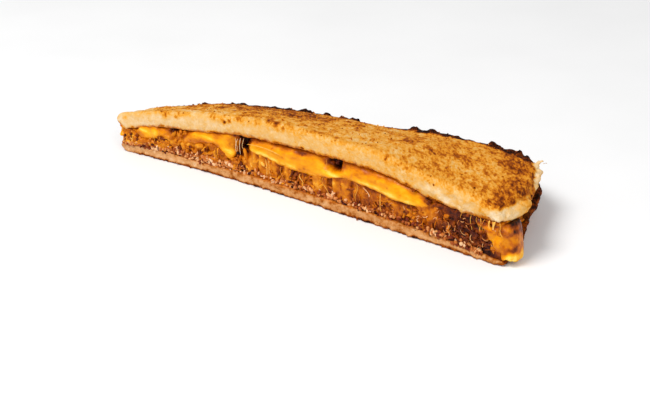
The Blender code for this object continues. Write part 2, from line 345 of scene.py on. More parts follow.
def lofted(rings):
    """A closed body through rings that have the same number of points."""
    sides = len(rings[0])
    last = (len(rings) - 1) * sides
    faces = [tuple(range(sides))]
    for near in range(0, last, sides):
        for k in range(sides):
            after = (k + 1) % sides
            faces.append((near + k, near + sides + k, near + sides + after, near + after))
    faces.append(tuple(reversed(range(last, last + sides))))
    return np.vstack(rings), faces


def tube(path, radius, sides=6, flat=1, side=(0.3, 0.2, 1)):
    """A closed round-ended tube along a line of points. flat squeezes it across its side."""
    ahead = unit(np.gradient(path, axis=0))
    across = unit(np.cross(ahead, side))
    above = np.cross(across, ahead) * flat
    radii = radius * np.sqrt(np.maximum(1 - np.linspace(-1, 1, len(path)) ** 8, 0.04))
    turn = np.linspace(0, 2 * math.pi, sides, endpoint=False)[:, None]
    rings = []
    for k, place in enumerate(path):
        rings.append(place + radii[k] * (across[k] * np.cos(turn) + above[k] * np.sin(turn)))
    return lofted(rings)


def strand(rng, middle, heading, length, bend):
    """A wandering line of nine points that is centred on middle."""
    headings = unit(heading + np.cumsum(rng.normal(0, bend, (9, 3)), axis=0))
    line = np.cumsum(headings, axis=0) * length / 9
    return middle + line - line.mean(axis=0)


# ---- materials


def linear(value):
    """A screen's colour value, 0 to 255, as the linear one that shaders take."""
    value /= 255
    return value / 12.92 if value <= 0.04045 else ((value + 0.055) / 1.055) ** 2.4


class Look:
    """A material and short ways to add nodes to it."""

    def __init__(self, name):
        self.material = bpy.data.materials.new(name)
        self.material.use_nodes = True
        self.tree = self.material.node_tree
        self.place = self.node("TexCoord").outputs["Object"]

    def node(self, kind, inputs=(), **settings):
        made = self.tree.nodes.new("ShaderNode" + kind)
        for name, value in settings.items():
            setattr(made, name, value)
        for name, value in dict(inputs).items():
            self.feed(made.inputs[name], value)
        return made

    def feed(self, socket, value):
        if isinstance(value, bpy.types.NodeSocket):
            self.tree.links.new(value, socket)
        else:
            socket.default_value = value

    def attribute(self, name):
        return self.node("Attribute", attribute_name=name).outputs["Fac"]

    def math(self, operation, first, second):
        return self.node("Math", {0: first, 1: second}, operation=operation).outputs[0]

    def add(self, first, second):
        return self.math("ADD", first, second)

    def times(self, first, second):
        return self.math("MULTIPLY", first, second)

    def texture(self, kind, size, stretch, **inputs):
        """The outputs of a texture whose bumps are about this many millimetres across."""
        place = self.place
        if stretch:
            place = self.node("Mapping", {"Vector": place, "Scale": stretch}).outputs[0]
        return self.node(kind, {"Vector": place, "Scale": 1 / (size * MM), **inputs}).outputs

    def noise(self, size, detail=3, rough=0.55, stretch=None, warp=0):
        """Noise from 0 to 1."""
        inputs = {"Detail": detail, "Roughness": rough, "Distortion": warp}
        return self.texture("TexNoise", size, stretch, **inputs)["Fac"]

    def uneven(self, *settings):
        """Noise from -0.5 to 0.5."""
        return self.math("SUBTRACT", self.noise(*settings), 0.5)

    def dots(self, size, low, high, stretch=None):
        """Scattered dots: 1 in the middle of each, falling to 0."""
        return self.spread(self.texture("TexVoronoi", size, stretch)["Distance"], high, low)

    def spread(self, value, low, high, to_low=0, to_high=1):
        names = ("Value", "From Min", "From Max", "To Min", "To Max")
        return self.node("MapRange", zip(names, (value, low, high, to_low, to_high))).outputs["Result"]

    def colours(self, level, stops):
        """The colour for a level from 0 to 1."""
        made = self.node("ValToRGB", {"Fac": level})
        elements = made.color_ramp.elements
        while len(elements) < len(stops):
            elements.new(1)
        for element, (place, *shade) in zip(elements, stops):
            element.position = place
            element.color = (*map(linear, shade), 1)
        return made.outputs["Color"]

    def blend(self, share, first, second):
        return self.node("Mix", {0: share, 6: first, 7: second}, data_type="RGBA").outputs[2]

    def relief(self, height, depth, strength, before=None):
        """Fine relief of this many millimetres, added to the relief before it."""
        inputs = {"Height": height, "Distance": depth * MM, "Strength": strength}
        if before:
            inputs["Normal"] = before
        return self.node("Bump", inputs).outputs["Normal"]

    def set(self, **values):
        """Sets the shader's sockets by name, with _ for a space."""
        shader = self.tree.nodes["Principled BSDF"]
        for name, value in values.items():
            self.feed(shader.inputs[name.replace("_", " ")], value)
        return self.material


# Colour stops: (level, red, green, blue), the colours from 0 to 255.
BAKED = (
    (0, 246, 230, 202), (0.14, 236, 202, 152), (0.26, 231, 181, 106), (0.38, 231, 162, 60),
    (0.5, 219, 137, 30), (0.6, 192, 106, 16), (0.7, 152, 72, 8), (0.8, 104, 44, 8), (0.9, 62, 25, 8),
    (1, 28, 12, 8),
)
# The bottom slice's crumb is pinker and duller.
STEAMED = ((0, 240, 202, 160), (0.2, 220, 164, 108), (0.42, 192, 124, 62), (0.56, 162, 90, 28), *BAKED[6:])
SOAKED = ((0.3, 104, 36, 4), (0.46, 184, 92, 8), (0.62, 224, 134, 26))
MELTED = (
    (0, 255, 216, 96), (0.16, 252, 186, 34), (0.34, 243, 158, 0), (0.5, 222, 130, 0), (0.64, 190, 96, 4),
    (0.8, 128, 54, 6), (1, 44, 14, 4),
)
BROWNED = (
    (0, 250, 192, 84), (0.2, 236, 156, 30), (0.4, 206, 116, 6), (0.58, 164, 78, 4), (0.74, 108, 42, 4),
    (0.88, 70, 22, 10), (1, 36, 10, 8),
)
PINKISH = (
    (0, 250, 214, 172), (0.25, 232, 168, 106), (0.5, 198, 112, 44), (0.72, 136, 56, 24), (0.88, 88, 28, 20),
    (1, 52, 14, 12),
)
STRINGY = ((0, 248, 222, 178), (0.35, 244, 184, 78), (0.7, 214, 128, 22), (1, 160, 80, 10))
TABLE_WHITE = ((0.3, 246, 246, 246), (0.7, 250, 250, 250))

# The way that the toasted top's grain runs, in degrees, and how its bumps are drawn out.
GRAIN_TURN = -39
GRAIN_LONG = (1, 0.36, 1)


def bread_look(name, stops=BAKED):
    """Bread from pale crumb to char, by the baked level that the skin carries."""
    look = Look(name)
    turned = {"Vector": look.place, "Rotation": (0, 0, math.radians(GRAIN_TURN))}
    look.place = look.node("Mapping", turned).outputs[0]
    baked, stain = look.attribute("baked"), look.attribute("stain")
    toasted = look.spread(baked, 0.26, 0.44)
    patchy = look.spread(look.noise(6, 2), 0.4, 0.58)
    holes = look.times(look.dots(0.8, 0.06, 0.3), look.spread(look.noise(3, 2), 0.4, 0.6))
    baked_off = 0
    for on_pale, on_toasted, value in (
        (0.26, 0.95, look.uneven(0.75, 3, 0.65, GRAIN_LONG)),
        (0.18, 0.8, look.uneven(1.9, 3, 0.62, GRAIN_LONG)),
        (0.14, 0.3, look.uneven(5, 4, 0.6, GRAIN_LONG, 0.5)),
        (0, 0.24, look.times(look.dots(1.4, 0.1, 0.36, GRAIN_LONG), patchy)),
        (0.1, 0.06, holes),
    ):
        share = look.spread(toasted, 0, 1, on_pale, on_toasted)
        baked_off = look.add(baked_off, look.times(share, value))
    baked_off = look.math("MINIMUM", baked_off, look.spread(toasted, 0, 1, 0.3, 0.17))
    baked_off = look.math("MAXIMUM", baked_off, look.spread(toasted, 0, 1, -0.3, -0.13))
    level = look.add(baked, baked_off)
    soaked = look.colours(look.noise(1.3, 4, 0.65), SOAKED)
    relief = look.relief(look.noise(0.5, 4, 0.7), 0.16, 0.9)
    relief = look.relief(look.math("SUBTRACT", 1, look.dots(0.9, 0.1, 0.38)), 0.1, 0.7, relief)
    return look.set(
        Base_Color=look.blend(stain, look.colours(level, stops), soaked),
        Roughness=look.spread(stain, 0, 1, 0.8, 0.45),
        Normal=relief,
        Specular_IOR_Level=0.06,
    )


def cheese_look():
    look = Look("melted_cheese")
    patch = look.times(look.uneven(1.6, 4, 0.6, (0.45, 1, 0.9)), 0.8)
    specks = look.times(look.dots(2.6, 0.05, 0.22), 0.14)
    level = look.add(look.add(look.attribute("tone"), patch), specks)
    return look.set(
        Base_Color=look.colours(level, MELTED),
        Roughness=0.36,
        Normal=look.relief(look.noise(1.1, 3, 0.5, (1, 1, 0.35)), 0.14, 0.6),
        Specular_IOR_Level=0.14,
        Coat_Weight=0.06,
        Coat_Roughness=0.14,
    )


def shred_look(name, stops, gloss, coat):
    """Moist browned stuff, coloured by the tone that each bit carries."""
    look = Look(name)
    level = look.add(look.attribute("tone"), look.times(look.uneven(1.3, 3, 0.6), 0.6))
    return look.set(
        Base_Color=look.colours(level, stops),
        Roughness=gloss,
        Normal=look.relief(look.noise(0.6, 3, 0.6), 0.1, 0.6),
        Specular_IOR_Level=0.1,
        Coat_Weight=coat,
        Coat_Roughness=0.18,
    )


def floor_look():
    look = Look("pale_table")
    shade = look.colours(look.noise(60, 2), TABLE_WHITE)
    return look.set(Base_Color=shade, Roughness=0.6, Specular_IOR_Level=0.2)


# ---- adding pieces


def add_piece(name, stands_for, coat, body, **values):
    """A piece with values at its points that its material reads by name."""
    data = mesh_of(name, *body)
    data.shade_smooth()
    data.materials.append(coat)
    for key, numbers in values.items():
        made = data.attributes.new(key, "FLOAT", "POINT")
        made.data.foreach_set("value", np.clip(numbers, 0, 1).astype(np.float32))
    thing = placed(name, data)
    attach(thing, "root")
    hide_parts(stands_for)
    return thing


def together(bits):
    """Many (body, tone) bits as one body, and a tone for each of its points."""
    tone = np.concatenate([np.full(len(body[0]), value) for body, value in bits])
    return joined([body for body, _ in bits]), tone


def add_many(name, stands_for, bits, coat):
    body, tone = together(bits)
    return add_piece(name, stands_for, coat, body, tone=tone)


# ---- slices

CRUST = crust_line()
TOP_AT_CUT = cut_profile("bread_top")
BOTTOM_AT_CUT = cut_profile("bread_bottom", BOTTOM_STANDS_OUT)

# Blackened bumps on the rim at the back: (x, half length, height, how burnt).
CHAR_BUMPS = (
    (4.4, 1.6, 0.1, 0.6), (9.2, 1.2, 0.2, 0.7), (17.6, 1, 0.5, 0.9), (21, 2, 0.8, 1), (25.5, 1.4, 0.3, 0.8),
    (30.5, 2.8, 0.4, 0.95), (36, 2.6, 0.3, 0.95), (43.8, 2.6, 1.1, 1), (50, 2.4, 0.7, 0.9),
    (58.5, 2.6, 0.3, 0.7), (62.5, 2.2, 0.8, 1), (69.5, 2.6, 0.3, 0.7), (79.5, 2.6, 0.2, 0.9),
    (84.8, 2, 1.3, 1), (91.5, 3.2, 0.6, 0.9), (101, 4.6, 0.8, 0.9), (115, 2.4, 2, 1), (120.5, 2.4, 0.7, 1),
    (124.5, 2, 1.9, 1), (128.8, 2.4, 1.5, 1),
)
BUMP_LUMPS = 9
RIM_IN = 3.2  # how far inside the crust the rim stands highest
# Browner spots on the top: (x, y, radius, how much darker).
DARK_SPOTS = (
    (59.6, 5.6, 1, 0.6), (61.6, 5.3, 0.8, 0.5), (63.6, 4.9, 1.2, 0.6), (99, 21.5, 3, 0.24),
    (110, 19, 2.6, 0.2), (105.5, 14.5, 1.8, 0.14), (120.5, 25.5, 2, 0.18), (113.5, 22.5, 1.6, 0.22),
    (127.5, 28.5, 2.2, 0.22), (84, 5.2, 1.9, 0.16), (40, 12.5, 2.4, 0.2), (36, 8, 1.4, 0.2),
    (46.5, 15, 2, 0.16), (70, 18, 2.8, 0.16), (74, 27, 2.2, 0.16), (88, 31, 2.4, 0.16), (55, 24, 3.4, 0.16),
    (133, 27, 2.4, 0.24), (137, 16, 2, 0.2), (28, 19, 2.6, 0.18), (90, 14, 2.2, 0.12), (33.5, 24, 4, 0.12),
    (44, 27, 5, 0.12), (21, 13, 2, 0.12), (124, 34, 2.4, 0.2), (118, 36.5, 2, 0.18),
    (129.5, 18.5, 1.8, 0.14), (95.5, 33, 2.6, 0.14),
)
# Small dark specks on the pale cut: (place along it, share of its height, how much darker).
CUT_SPECKS = (
    (2.4, 0.8, 1), (43.4, 0.74, 1.4), (45.4, 0.84, 1.4), (74, 0.1, 1), (105.2, 0.93, 0.6), (24, 0.85, 1),
)
# The browner ring where the top rolls over to the right end.
BROWN_RING = ((119, 44), (124.5, 40), (129.5, 31.5), (133.5, 24.5), (138, 14), (141, 4))
# The roll of pale crumb across the right end: points along its middle.
ROLL = ((142.6, 0, 13.6), (143.7, 3.5, 13.3), (144.2, 7.5, 12.9), (144, 11.5, 12.8), (143.2, 15.5, 12.9))
ROLL_RADIUS = 1.55
# Flakes torn off the right end, behind: (x, y, z, half sizes).
TORN_FLAKES = (
    (132.4, 38, 13.7, (0.6, 1.3, 0.8)), (133.2, 36.4, 13.4, (0.8, 1.4, 0.9)),
    (134.8, 34.3, 13, (0.8, 1.5, 0.9)), (136, 32, 12.6, (0.8, 1.6, 0.8)),
    (137.3, 29.4, 12.3, (0.7, 1.7, 0.8)), (138.8, 26.6, 12.1, (0.6, 1.6, 0.7)),
    (133.6, 38.6, 14.2, (0.9, 0.5, 0.25)), (134.6, 39, 13.9, (0.35, 0.35, 0.5)),
)
SCORCHED_BITS = 150


def drawn_line(points, step=0.4):
    """Points close together along straight stretches between these."""
    line = []
    for start, end in zip(points, points[1:]):
        count = max(2, int(math.dist(start, end) / step))
        line += [mix(np.array(start), np.array(end), k / count) for k in range(count)]
    return np.array(line + [points[-1]])


def inside_crust(k, step, inward):
    """The point this far inside the crust's place k, and the way along the crust there."""
    ahead = CRUST[k + step] - CRUST[k - step]
    ahead /= np.linalg.norm(ahead)
    return CRUST[k] + inward * np.array((ahead[1], -ahead[0])), ahead


def rim_place(x, inward):
    k = np.where(CRUST[:, 1] > 6, np.abs(CRUST[:, 0] - x), np.inf).argmin()
    return inside_crust(k, 2, inward)[0]


def char_bodies(rng):
    """Lumps on the top slice's rim where it is blackened."""
    points = node_body("bread_top")[0]
    for x, size, tall, _ in CHAR_BUMPS:
        for _ in range(BUMP_LUMPS):
            spot = rim_place(x + rng.normal(0, 0.45 * size), RIM_IN + rng.normal(0, 0.4))
            height = nearest_height(points, spot, max)
            middle = np.array((*spot, height - 0.45 + 0.45 * tall * rng.uniform(0, 1)))
            half = np.array((0.9, 0.7, 0.65)) * rng.uniform(0.6, 1) * (0.7 + 0.45 * tall)
            yield lump(rng, middle, half, 0.5)


def char_share(m):
    """How burnt the rim is: most on the named bumps, less between them."""
    share = np.zeros(len(m.x))
    for x, size, _, burnt in CHAR_BUMPS:
        spot = rim_place(x, RIM_IN)
        apart = np.hypot(m.x - spot[0], m.y - spot[1]) / (1.1 * size + 1.2)
        share = np.maximum(share, burnt * np.exp(-(apart**3)))
    return share


def roll_share(points):
    """1 on the roll of crumb, and 0 away from it."""
    apart = [np.linalg.norm(points - spot, axis=1) for spot in drawn_line(ROLL)]
    return fall(np.min(apart, axis=0), ROLL_RADIUS + 0.2, ROLL_RADIUS + 0.9)


def flake_share(points):
    """1 on the torn flakes, and 0 away from them."""
    share = np.zeros(len(points))
    for *middle, half in TORN_FLAKES:
        apart = np.linalg.norm((points - middle) / (np.array(half) + 0.5), axis=1)
        share = np.maximum(share, fall(apart, 0.85, 1.25))
    return share


def shape_top_slice(skin, m):
    """Grain on the toasted top, torn crumb at the cut, and a rough rim."""
    at = m.points
    rim = bell(m.crust, 1.5, 2.6) * (1 - m.front)
    torn = ramp(m.x, 108, 124) * m.front
    grain = 0.15 * fractal(at, (1.3, 2, 1.3), 21) + 0.16 * noise(at, 7, 22)
    grain -= 0.28 * pores(at, (1.9, 2.8, 1.9), 23, 0.3, 0.4)
    crumb = 0.12 * fractal(at, (1.6, 1.6, 1), 24) + 0.2 * noise(at, 4, 25)
    crumb -= 0.26 * pores(at, (1.5, 1.5, 1.1), 26)
    crumb += torn * (0.5 * noise(at, 3, 27) + 0.38 * fractal(at, 1.3, 28))
    skin.push(mix(grain, crumb, m.front) + rim * 0.35 * fractal(at, 2.2, 29))
    rise = 1.3 * bell(m.x, 91, 8) - 0.6 * bell(m.x, 46, 22) - 1.5 * bell(m.x, 71, 7)
    skin.points[:, 2] += rise * bell(m.crust, 3, 5) * ramp(m.y, 20, 32)
    skin.points[:, 2] += 0.8 * bell(np.hypot(m.x - 5, m.y - 14), 0, 6)
    edge = m.front * fall(m.above_low, 0.3, 1.4)
    skin.points[:, 2] += edge * (0.5 + 0.35 * torn) * fractal(at, (1.7, 1.7, 4), 32)


def toast_level(m):
    """How baked the top is where it lay on the pan."""
    turn = math.radians(GRAIN_TURN)
    across = m.x * math.cos(turn) - m.y * math.sin(turn)
    along = m.x * math.sin(turn) + m.y * math.cos(turn)
    grain = np.column_stack((across, along, m.z))
    toast = 0.45 + 0.08 * fractal(grain, (7, 14, 7), 41)
    toast += (0.05 + 0.15 * ramp(m.x, 95, 72)) * noise(grain, (2, 5, 2), 42)
    toast += 0.05 * noise(grain, (0.9, 2.4, 0.9), 43)
    speckle = 0.7 + 0.8 * noise(grain, (0.9, 2.4, 0.9), 44)
    for x, y, size, darker in DARK_SPOTS:
        toast += darker * bell(np.hypot(m.x - x, m.y - y), 0, size) * speckle
    ring = line_distance(m.x, m.y, drawn_line(BROWN_RING))
    toast += 0.15 * bell(ring, 0, 2.6) * (0.8 + 0.4 * noise(m.points, 1.8, 57))
    toast += 0.09 * ramp(m.x + 0.3 * m.y, 139, 144)
    toast += 0.17 * bell(m.crust, 0, 8) * ramp(m.x, 108, 122) * ramp(m.y, 24, 34)
    toast += 0.08 * bell(m.x, 55, 16) * ramp(m.y, 6, 16) - 0.08 * bell(m.x, 85, 15)
    toast += 0.09 * bell(m.x, 62, 42) * ramp(m.y, 12, 30)
    toast += bell(m.x, 32, 14) * mix(-0.12, 0.06, ramp(m.y, 10, 22))
    toast += 0.06 * bell(m.crust, 0, 6)
    toast = np.minimum(toast, mix(0.62, toast, 0.35))
    uncooked = fall(m.x + 0.45 * m.y + 2 * noise(m.points, 3, 40), 4, 13)
    return mix(toast, 0.19 + 0.06 * noise(m.points, 1.6, 45), uncooked)


def cut_level(m):
    """How baked the cut is: pale, rougher at the right, with a few specks."""
    right = ramp(m.x, 112, 126)
    pale = mix(0.15, 0.29, ramp(m.x, 0, 95)) - 0.08 * right
    pale += 0.04 * fractal(m.points, (6, 6, 2), 49) + 0.05 * noise(m.points, (0.9, 0.9, 2.2), 50)
    pale += right * 0.16 * fractal(m.points, (2.6, 2.6, 1.8), 33)
    speckle = 0.8 + 0.6 * noise(m.points, 0.6, 34)
    for along, share, darker in CUT_SPECKS:
        near = np.hypot((m.x - along) / 0.6, (m.share - share) / 0.11)
        pale += darker * bell(near, 0, 1) * speckle
    return pale


def rim_level(m):
    """How baked the rim is between its blackened bumps."""
    even = 0.56 + 0.24 * ramp(m.x, 18, 50) - 0.18 * ramp(m.x, 126, 133)
    return even + 0.16 * fractal(m.points, 2.5, 46)


def toasting_share(m):
    """0 on the pale cut and 1 on the toasted top, ragged between them."""
    wave = 0.9 * noise(m.points, (5, 5, 3), 51) + 0.8 * noise(m.points, 1.1, 55)
    reach = 1.2 + 2.4 * bell(m.x, 108, 22)
    toasting = ramp(m.behind + 2.8 * (m.share - 0.9) * m.front + wave, -1.1, reach)
    on_face = ramp(m.front + (m.behind < 2.6 + reach), 0.2, 0.9)
    return np.maximum(toasting, 1 - on_face)


def soaked_edge(m, level):
    """The level and stain along the cut's lower edge, where grease has soaked in."""
    wave = 0.4 * noise(m.points, (3, 3, 9), 53) + 0.35 * noise(m.points, (0.9, 0.9, 9), 56)
    wet = m.front * fall(m.above_low + wave, 0.2, 0.95)
    spots = m.front * fall(m.above_low, 0.3, 1.1) * ramp(noise(m.points, 1.8, 54), 0.15, 0.45)
    stain = np.maximum(wet * 0.9, 0.6 * m.down * (1 - m.front)) * (1 - 0.8 * spots)
    return mix(level, 0.82, spots * 0.9), stain


def top_levels(m, low_lying):
    """(how baked, how greasy) the top slice is at each point."""
    at = m.points
    inside = m.crust - 2.6 * bell(m.x, 66, 34)
    rim = fall(inside + 0.9 * noise(at, 1.6, 58), 2.8, 4.4)
    level = mix(toast_level(m), rim_level(m), rim * ramp(m.x + m.y, 8, 14) * 0.8)
    burnt = char_share(m) * fall(inside + 1.2 * noise(at, 1.5, 59), 4.4, 6.2)
    level = mix(level, 0.93, np.clip(burnt * (1.5 + 0.8 * noise(at, 1.3, 47)), 0, 1))
    level = mix(level, 0.36 + 0.08 * noise(at, 3, 48), m.down)
    level = mix(cut_level(m), level, toasting_share(m))
    level, stain = soaked_edge(m, level - 0.4 * low_lying * (0.6 + 0.2 * m.front))
    roll = roll_share(at)
    # painted light and shade on the roll: paler at the cut end as a painted highlight, darker underneath as
    # painted shade
    rolled = 0.1 + 0.022 * m.y + 0.1 * fall(m.z, 11.6, 13.2) + 0.08 * noise(at, 1.5, 52)
    level = mix(mix(level, rolled, roll), 0.17 + 0.1 * noise(at, 1.2, 35), flake_share(at))
    return level, stain * (1 - roll)


def sculpt_top_slice():
    rng = np.random.default_rng(3)
    bodies = [node_body("bread_top"), *char_bodies(rng), tube(drawn_line(ROLL, 1), ROLL_RADIUS, 12)]
    bodies += [lump(rng, np.array(middle), half, 0.5) for *middle, half in TORN_FLAKES]
    skin = Skin(bodies, SLICE_VOXEL)
    skin.smooth(2)
    m = surface_marks(skin, TOP_AT_CUT)
    shape_top_slice(skin, m)
    skin.smooth(1, 0.3)
    level, stain = top_levels(m, skin.hollowness())
    look = bread_look("toasted_top")
    baked = skin.soften(level)
    return add_piece("toasted_top_slice", "bread_top", look, skin.body(), baked=baked, stain=stain)


def scorched_bits(rng):
    """Bits of the toasted underside along the bottom slice's lower edge."""
    for _ in range(SCORCHED_BITS):
        x = rng.uniform(6, CUT_LENGTH - 3)
        half = rng.uniform((0.4, 0.3, 0.22), (1.3, 0.6, 0.5))
        middle = np.array((x, cut_line(x, BOTTOM_STANDS_OUT) + 0.15, half[2] * 0.8))
        points, faces = lump(rng, middle, half, 0.5)
        points[:, 2] = np.maximum(points[:, 2], 0)
        yield points, faces


def shape_bottom_slice(skin, m):
    """Crumb at the cut, looser along its upper edge, and a rough rim."""
    at = m.points
    rim = bell(m.crust, 0, 2.4) * (1 - m.front)
    under = m.down * fall(m.z, 0.5, 1.5)
    crumb = 0.14 * fractal(at, (1.4, 1.4, 1), 61) + 0.18 * noise(at, 3.6, 62)
    crumb -= 0.26 * pores(at, (1.3, 1.3, 0.9), 63)
    grain = mix(0.14 * fractal(at, 1.8, 64), 0.05 * noise(at, 2, 66), under)
    skin.push(mix(grain, crumb, m.front) + rim * 0.5 * fractal(at, 2.2, 65))
    edge = m.front * ramp(m.share, 0.55, 0.95)
    skin.points[:, 2] += edge * 0.45 * fractal(at, (1.4, 1.4, 4), 67)
    skin.points[:, 2] = np.maximum(skin.points[:, 2], 0)


def bottom_level(m, low_lying):
    at = m.points
    pale = mix(0.18, 0.31, ramp(m.x, 0, 90)) + 0.14 * fractal(at, (2.6, 2.6, 1.3), 71)
    pale += 0.12 * noise(at, 1, 72) - 0.5 * low_lying
    dark = fall(m.z + 0.4 * noise(at, (1.5, 1.5, 9), 73), 0.35, 0.85)
    dark *= ramp(m.x, 3, 9) * (1 - 0.5 * ramp(m.x, 130, 142))
    face = mix(pale, 0.82 + 0.1 * noise(at, 1.2, 79), dark)
    below = 0.58 + 0.12 * fractal(at, 7, 75) + 0.1 * noise(at, 2, 76)
    curl = ramp(m.z, 4, 7) * ramp(m.x, 110, 125)
    level = mix(0.46 + 0.1 * noise(at, 3, 77), below, m.down)
    level = mix(level, 0.8 + 0.1 * fractal(at, 3, 74), bell(m.crust, 0, 2))
    level = mix(level, 0.84 + 0.12 * fractal(at, 2.6, 78), curl)
    return mix(level, face, m.front * (1 - curl))


def sculpt_bottom_slice():
    rng = np.random.default_rng(5)
    skin = Skin([node_body("bread_bottom"), *scorched_bits(rng)], SLICE_VOXEL)
    skin.smooth(2)
    m = surface_marks(skin, BOTTOM_AT_CUT, BOTTOM_STANDS_OUT)
    shape_bottom_slice(skin, m)
    baked = skin.soften(bottom_level(m, skin.hollowness()))
    stain = 0.6 * m.up * (1 - m.front) * (1 - bell(m.crust, 0, 2.5))
    look = bread_look("toasted_bottom", STEAMED)
    return add_piece("toasted_bottom_slice", "bread_bottom", look, skin.body(), baked=baked, stain=stain)


# ---- between the slices

# The lower edge of the cheese along the cut, and the upper edge of the crumbly layer.
CHEESE_LOW = (
    (0, 8), (8, 5.8), (12, 5.8), (18, 8.4), (22, 10.6), (26, 7.6), (30, 8), (36, 9.2), (41, 8.8), (43, 6),
    (47, 5.8), (49.5, 12.6), (52.6, 10.4), (60, 9.5), (68, 8.3), (76, 8.1), (83, 9.4), (88, 10.5),
    (97, 10.4), (103, 9.8), (110, 8.9), (118, 9.2), (122, 11.2), (133, 11.2), (145, 11),
)
CRUMBLY_TOP = (
    (0, 4), (8, 4.9), (25, 5.6), (45, 5.4), (60, 5), (73, 5.2), (90, 5.4), (105, 5.2), (121, 4.6), (145, 3),
)
# Where the cut looks into a hollow, set back and painted dark as shade: (place along the cut, half width,
# lowest height).
HOLLOWS = ((48.8, 3.8, 8.4), (85.2, 3, 12.4), (21.6, 1.6, 9.6))
HOLLOW_DEEP = 4.5
BODY_STEP = 0.35


def height_at(table, x):
    return np.interp(x, *np.transpose(table))


def floor_at(x):
    return np.interp(x, BOTTOM_AT_CUT[0], BOTTOM_AT_CUT[2])


def cheese_low_at(x):
    return np.minimum(height_at(CHEESE_LOW, x), np.interp(x, TOP_AT_CUT[0], TOP_AT_CUT[1]))


def hollow_share(x, z):
    """1 where the cut looks into a hollow, and 0 elsewhere."""
    share = [bell(x, middle, width) ** 2 * ramp(z, low - 0.8, low + 0.8) for middle, width, low in HOLLOWS]
    return np.max(share, axis=0)


def nearest_height(points, spot, pick):
    """The highest or lowest of a node's points near a place seen from above."""
    apart = np.hypot(points[:, 0] - spot[0], points[:, 1] - spot[1])
    return pick(points[np.argsort(apart)[:6], 2])


def smoothed(values, window):
    """A list of numbers evened out over this many of them."""
    kernel = np.hanning(window + 2)[1:-1]
    padded = np.pad(values, window // 2, mode="edge")
    return np.convolve(padded, kernel / kernel.sum(), mode="valid")[: len(values)]


def band_body(along, low, high, front, deep):
    """A closed body along the cut. front has a row of places for each place along."""
    rings = []
    for k, x in enumerate(along):
        rows, back = len(front[k]), cut_line(x) + deep
        face = np.column_stack((np.full(rows, x), front[k], np.linspace(low[k], high[k], rows)))
        rings.append(np.vstack((face, ((x, back, high[k]), (x, back, low[k])))))
    return lofted(rings)


def on_line(along):
    """Places along the cut as points, for noise that changes only along it."""
    return np.outer(along, (1, 0, 0))


def pushed_back(node, amount):
    """A node's body with its points near the cut moved back from it."""
    points, faces = node_body(node)
    behind = points[:, 1] - cut_line(points[:, 0])
    points[:, 1] += amount * fall(behind, 0, 12) * ramp(points[:, 0], -2, 0)
    return points, faces


# ---- cheese

# The folds of cheese that show at the cut: (place along it, lower edge, upper edge).
FOLDS = (
    (
        (6.6, 7, 8.4), (8.2, 5.8, 10), (10.5, 5.6, 10.7), (13, 6.3, 10.6), (16.5, 7.4, 10.3), (19, 8.3, 10),
        (20.4, 8.8, 9.6),
    ),
    (
        (25.4, 7.2, 8.6), (28, 7.6, 10.6), (30.5, 8, 12.3), (34, 8.9, 12.9), (38, 9.2, 13.3),
        (40.6, 8.7, 13.7), (42.6, 5.9, 13.9), (45.2, 5.3, 14), (46.9, 8.4, 13.6),
    ),
    (
        (51.9, 10.6, 12.2), (53.9, 10.1, 13.4), (58, 9.7, 13.7), (62, 9.2, 14), (66, 8.5, 14.2),
        (70, 8.2, 14.5), (76, 8.1, 14.8), (80, 8.6, 14.6), (83, 9.3, 13.4), (85, 9.8, 11.9),
        (88, 10.4, 12.3), (90.3, 10.7, 13.8), (94, 10.6, 14.8), (98, 10.3, 15.1), (103, 9.8, 15),
        (108, 9.1, 14.5), (112, 8.8, 13.7), (116, 8.9, 12.5), (119.5, 9.4, 11.2),
    ),
)
FOLD_STANDS = (0.5, 0.7, 1)  # how far each fold stands out of the cut
FOLD_BACK = 5
# Where light lies on the folds: (place along the cut, height, half length).
SHEENS = (
    (57, 11.2, 4.5), (62.5, 10.3, 3), (70, 9.9, 2.5), (86.5, 11, 2.6), (99, 11.6, 4), (107, 10.5, 3.6),
    (113.5, 9.8, 2.4), (36, 11.4, 4.5), (43.5, 9, 2.2), (10.2, 8.6, 2.4),
)
SHEEN_SLOPE, SHEEN_HALF_WIDTH = -0.1, 0.65
# Round lumps of cheese: (x, behind the cut, z, radius). The last run makes the mass at the right end.
CHEESE_LUMPS = (
    (125.9, 0.7, 9.4, 1.4), (122.2, 1, 10.2, 1.1), (126.8, 0.8, 5.6, 1.3), (0.9, 0.2, 5.6, 1.2),
    (0.4, 1.4, 6.8, 1.1), (0.8, 0.4, 8.4, 1), (137, 0.5, 10.6, 1.2), (139.4, 0.3, 9.8, 1.4),
    (141.4, 0.3, 8.4, 1.6), (142.8, 0.6, 6.6, 1.6), (143.8, 0.9, 4.6, 1.5), (144.4, 1.5, 2.8, 1.4),
    (144.6, 1.2, 9, 1.6), (144.9, 2.6, 6.6, 1.6), (145.2, 3.6, 4, 1.4), (142.8, 0.4, 10.6, 1.2),
    (145.7, 1.8, 2.5, 1.3),
)
LUMP_SHAPE = np.array((1.2, 0.9, 0.8))
# The curtain of cheese down the right end: its rows are (height, nearest and furthest y, x).
CURTAIN = (
    (11.6, 1, 8.2, 144.9), (10, 1.2, 8, 145.5), (8, 1.5, 7.8, 146), (6, 1.3, 7.6, 146.3),
    (4, 1.2, 7.5, 146.6), (2, 1.6, 7.4, 146.8), (0.7, 2.4, 6.9, 146.8),
)
CURTAIN_THICK = 0.9


